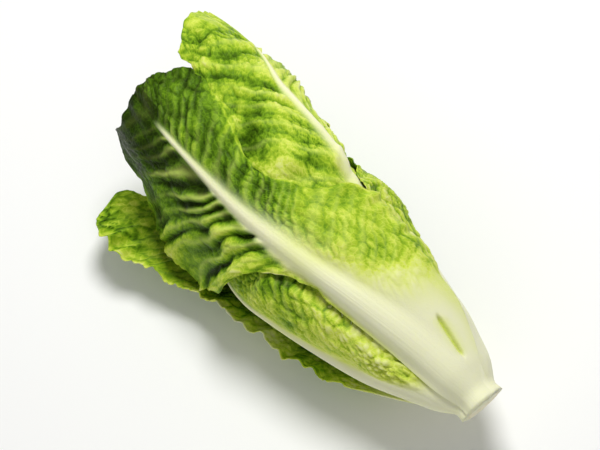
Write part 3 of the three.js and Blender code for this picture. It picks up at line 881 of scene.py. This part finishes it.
class Nodes:
    """Short names for building a material's nodes."""

    def __init__(self, name):
        self.material = bpy.data.materials.new(name)
        self.material.use_nodes = True
        self.tree = self.material.node_tree
        self.shader = self.tree.nodes["Principled BSDF"]

    def put(self, kind, inputs=None, **settings):
        node = self.tree.nodes.new(kind)
        for key, value in settings.items():
            setattr(node, key, value)
        for key, value in (inputs or {}).items():
            self.set(node.inputs[key], value)
        return node

    def set(self, socket, value):
        if isinstance(value, bpy.types.NodeSocket):
            self.tree.links.new(value, socket)
        else:
            socket.default_value = value

    def attribute(self, name, output="Fac"):
        return self.put("ShaderNodeAttribute", attribute_name=name).outputs[output]

    def math(self, operation, first, second=0.0):
        node = self.put("ShaderNodeMath", operation=operation)
        self.set(node.inputs[0], first)
        self.set(node.inputs[1], second)
        return node.outputs[0]

    def blend(self, share, first, second, mode="MIX"):
        node = self.put("ShaderNodeMix", data_type="RGBA", blend_type=mode)
        self.set(node.inputs["Factor"], share)
        self.set(node.inputs["A"], first)
        self.set(node.inputs["B"], second)
        return node.outputs["Result"]

    def remap(self, value, low, high, to_low=0.0, to_high=1.0):
        sockets = {"From Min": low, "From Max": high, "To Min": to_low, "To Max": to_high}
        node = self.put("ShaderNodeMapRange", inputs=sockets)
        self.set(node.inputs["Value"], value)
        return node.outputs["Result"]

    def ramp(self, value, stops):
        node = self.put("ShaderNodeValToRGB", inputs={"Fac": value})
        elements = node.color_ramp.elements
        while len(elements) < len(stops):
            elements.new(0.5)
        for element, (place, colour) in zip(elements, stops):
            element.position = place
            element.color = linear(colour)
        return node.outputs["Color"]

    def stretched(self, scale):
        """The piece's own coordinates in mm, times scale."""
        return self.put(
            "ShaderNodeMapping", inputs={"Vector": self.attribute("place", "Vector"), "Scale": scale}
        ).outputs["Vector"]

    def noise(self, scale, detail=3.0):
        """Noise with about `scale` grains to a mm along each of the piece's own coordinates."""
        sockets = {"Vector": self.stretched(scale), "Scale": 1.0, "Detail": detail}
        return self.put("ShaderNodeTexNoise", inputs=sockets).outputs["Fac"]


def leaf_material(name):
    """Blade and rib of a leaf: greens by its surface values, with fine veins, fibres and a waxy shine."""
    n = Nodes(name)
    green = n.attribute("green")
    vein = n.attribute("vein")
    rib = n.attribute("rib")
    patches = n.remap(n.noise((0.16, 0.16, 1), 4), 0.3, 0.7, -0.05, 0.05)
    veinlets = n.put(
        "ShaderNodeTexVoronoi",
        inputs={"Vector": n.stretched((0.42, 0.42, 1)), "Scale": 1.0},
        feature="DISTANCE_TO_EDGE",
    ).outputs["Distance"]
    net = n.remap(veinlets, 0.0, 0.12, 1.0, 0.0)
    on_blade = n.remap(green, 0.1, 0.4)
    level = n.math("ADD", green, n.math("MULTIPLY", patches, on_blade))
    level = n.math("SUBTRACT", level, n.math("MULTIPLY", net, n.math("MULTIPLY", on_blade, NET_DARKNESS)))
    colour = n.ramp(level, GREENS)
    pale = n.math("MULTIPLY", vein, n.math("MULTIPLY", on_blade, VEIN_PALENESS))
    colour = n.blend(pale, colour, linear(VEIN_COLOUR))
    colour = n.blend(n.attribute("white"), colour, linear(RIB_COLOUR))
    fibres = n.noise((0.05, 1.1, 1), 3)
    streak = n.remap(fibres, 0.35, 0.7, 0.0, 0.1)
    colour = n.blend(n.math("MULTIPLY", streak, rib), colour, linear(FIBRE_COLOUR))
    rough = n.remap(n.noise((0.3, 0.3, 1), 3), 0.3, 0.7, LEAF_ROUGHNESS - 0.07, LEAF_ROUGHNESS + 0.1)
    net_relief = n.math("MULTIPLY", net, n.math("MULTIPLY", on_blade, 0.5))
    relief = n.math("ADD", net_relief, n.noise((0.9, 0.9, 1), 4))
    relief = n.math("ADD", relief, n.math("MULTIPLY", fibres, rib))
    uneven = n.put("ShaderNodeBump", inputs={"Height": relief, "Strength": 0.35, "Distance": BUMP_DEPTH})
    shader = n.shader
    n.set(shader.inputs["Base Color"], colour)
    n.set(shader.inputs["Roughness"], rough)
    n.set(shader.inputs["Normal"], uneven.outputs["Normal"])
    shader.inputs["IOR"].default_value = 1.42
    shader.inputs["Specular IOR Level"].default_value = LEAF_SPECULAR
    shader.inputs["Specular Tint"].default_value = (0.8, 1.0, 0.5, 1)
    shader.inputs["Subsurface Weight"].default_value = 0.22
    shader.inputs["Subsurface Radius"].default_value = (0.9, 1.0, 0.35)
    shader.inputs["Subsurface Scale"].default_value = LEAF_LIGHT_DEPTH
    return n.material


def cut_material():
    """The cut stem: pale and moist, with a brownish grain."""
    n = Nodes("cut_stem")
    grain = n.noise((0.8, 0.8, 0.8), 4)
    colour = n.blend(n.remap(grain, 0.35, 0.7, 0.0, 0.6), linear(CUT_PALE_COLOUR), linear(CUT_COLOUR))
    uneven = n.put("ShaderNodeBump", inputs={"Height": grain, "Strength": 0.4, "Distance": BUMP_DEPTH})
    n.set(n.shader.inputs["Base Color"], colour)
    n.set(n.shader.inputs["Roughness"], n.remap(grain, 0.3, 0.7, 0.35, 0.5))
    n.set(n.shader.inputs["Normal"], uneven.outputs["Normal"])
    n.shader.inputs["Subsurface Weight"].default_value = 0.2
    n.shader.inputs["Subsurface Radius"].default_value = (1.0, 0.9, 0.5)
    n.shader.inputs["Subsurface Scale"].default_value = CUT_LIGHT_DEPTH
    return n.material


# ---- The scene ----
def set_camera(origin):
    """A long lens at the place and angle from which the head is seen."""
    camera = bpy.data.objects.new("camera", bpy.data.cameras.new("camera"))
    bpy.context.scene.collection.objects.link(camera)
    forward = Vector(VIEW_DIRECTION).normalized()
    right = forward.cross(Vector(IMAGE_UP)).normalized()
    up = right.cross(forward)
    turn = Matrix((right, up, -forward)).transposed().to_4x4()
    place = (Vector(CAMERA_FROM_CUT) + Vector(origin)) * MM
    camera.matrix_world = Matrix.Translation(place) @ turn
    camera.data.lens = LENS
    camera.data.sensor_width = SENSOR_WIDTH
    camera.data.clip_start = NEAREST_SEEN
    bpy.context.scene.camera = camera


def add_light(name, middle, direction, distance, size, power):
    """A round area light that points at the middle of the head."""
    data = bpy.data.lights.new(name, "AREA")
    data.shape = "DISK"
    data.size = size
    data.energy = power
    light = bpy.data.objects.new(name, data)
    bpy.context.scene.collection.objects.link(light)
    away = Vector(direction).normalized()
    light.location = middle + away * distance
    light.rotation_euler = away.to_track_quat("Z", "Y").to_euler()


def set_studio(middle):
    """A pale floor under plain soft light."""
    bpy.ops.mesh.primitive_plane_add(size=FLOOR_SIZE, location=(middle.x, middle.y, 0))
    floor = bpy.context.object
    floor.name = "floor"
    n = Nodes("floor")
    n.shader.inputs["Base Color"].default_value = linear(FLOOR_COLOUR)
    n.shader.inputs["Roughness"].default_value = FLOOR_ROUGHNESS
    floor.data.materials.append(n.material)
    add_light("key", middle, **KEY_LIGHT)
    add_light("fill", middle, **FILL_LIGHT)
    world = bpy.data.worlds.new("studio")
    world.use_nodes = True
    sky = world.node_tree.nodes["Background"]
    sky.inputs["Color"].default_value = (1, 1, 1, 1)
    sky.inputs["Strength"].default_value = SKY_STRENGTH
    bpy.context.scene.world = world
    bpy.context.scene.view_settings.view_transform = "Standard"


def make_leaves(origin, axis_height, outer, inner):
    """The leaves that can be picked off, each in a piece of its own."""
    for leaf in LEAVES[:LEAF_COUNT]:
        sheet = leaf_sheet(leaf, axis_height)
        grown_outside = leaf.name in OUTER_LEAVES
        material = outer if grown_outside else inner
        faces = sheet.faces.tolist()
        piece = make_object(
            f"{leaf.name}_fine", sheet.points, faces, sheet.place, sheet.values, origin, material
        )
        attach(piece, "root")
        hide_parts(leaf.name)


def make_heart(origin, axis_height, material):
    """The smallest leaves and their core, in one piece."""
    sheets = [leaf_sheet(leaf, axis_height) for leaf in LEAVES[LEAF_COUNT:]]
    points, faces, places, values = [], [], [], {key: [] for key in sheets[0].values}
    count = 0
    for sheet in sheets:
        faces += (sheet.faces + count).tolist()
        count += len(sheet.points)
        points.append(sheet.points)
        places.append(sheet.place)
        for key in values:
            values[key].append(sheet.values[key])
    core_start = CORE_RADIUS[0][0]
    rings, _, _ = turned_sheet(
        core_radius, core_start, CORE_END, CORE_ROWS, CORE_SIDES, axis_height, CORE_CAP_RINGS
    )
    core, core_faces = closed_rings(rings)
    faces += [[corner + count for corner in face] for face in core_faces]
    points.append(core)
    places.append(core)
    for key in values:
        values[key].append(np.zeros(len(core)))
    joined = {key: np.concatenate(columns) for key, columns in values.items()}
    piece = make_object(
        "heart_fine", np.concatenate(points), faces, np.concatenate(places), joined, origin, material
    )
    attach(piece, "root")
    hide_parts("heart")


def make_stem(origin, axis_height, material):
    """The short stem, with a slightly hollowed and torn cut."""
    rings, s, r = turned_sheet(cut_disc, 0, STEM_LENGTH, STEM_ROWS, STEM_SIDES, axis_height, STEM_CAP_RINGS)
    angle = np.arange(STEM_SIDES) * 2 * np.pi / STEM_SIDES
    share = np.clip(r / cut_disc(0), 0, 1)
    at_cut = (s < 0.01)[:, None] * (1 - share[:, None] ** 2)
    torn = noise(3 * np.cos(angle) * share[:, None], 3 * np.sin(angle) * share[:, None])
    rings[..., 1] += at_cut * (CUT_HOLLOW + CUT_TEAR * torn)
    rings[..., 1] += cut_lean(angle / DEG, r[:, None]) * (1 - smooth(0, CUT_REACH, s))[:, None]
    points, faces = closed_rings(rings)
    piece = make_object("stem_fine", points, faces, points, {}, origin, material)
    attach(piece, "root")
    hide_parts("stem")


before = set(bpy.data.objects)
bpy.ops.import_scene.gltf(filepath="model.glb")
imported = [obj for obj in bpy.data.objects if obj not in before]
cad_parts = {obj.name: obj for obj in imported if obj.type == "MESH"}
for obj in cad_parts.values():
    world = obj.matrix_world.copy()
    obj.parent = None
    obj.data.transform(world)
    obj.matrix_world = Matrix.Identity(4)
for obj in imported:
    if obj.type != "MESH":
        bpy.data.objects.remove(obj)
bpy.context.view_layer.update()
stem_low, stem_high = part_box("stem")
stem_middle = (stem_low + stem_high) / 2
AXIS_HEIGHT = stem_middle.z / MM
ORIGIN = np.array([stem_middle.x / MM, stem_low.y / MM, 0.0])

set_camera(ORIGIN + np.array([0, 0, AXIS_HEIGHT]))
set_studio(Vector((0, 0, LIT_HEIGHT)))
outer_leaf = leaf_material("outer_leaf")
inner_leaf = leaf_material("inner_leaf")
make_leaves(ORIGIN, AXIS_HEIGHT, outer_leaf, inner_leaf)
make_heart(ORIGIN, AXIS_HEIGHT, inner_leaf)
make_stem(ORIGIN, AXIS_HEIGHT, cut_material())
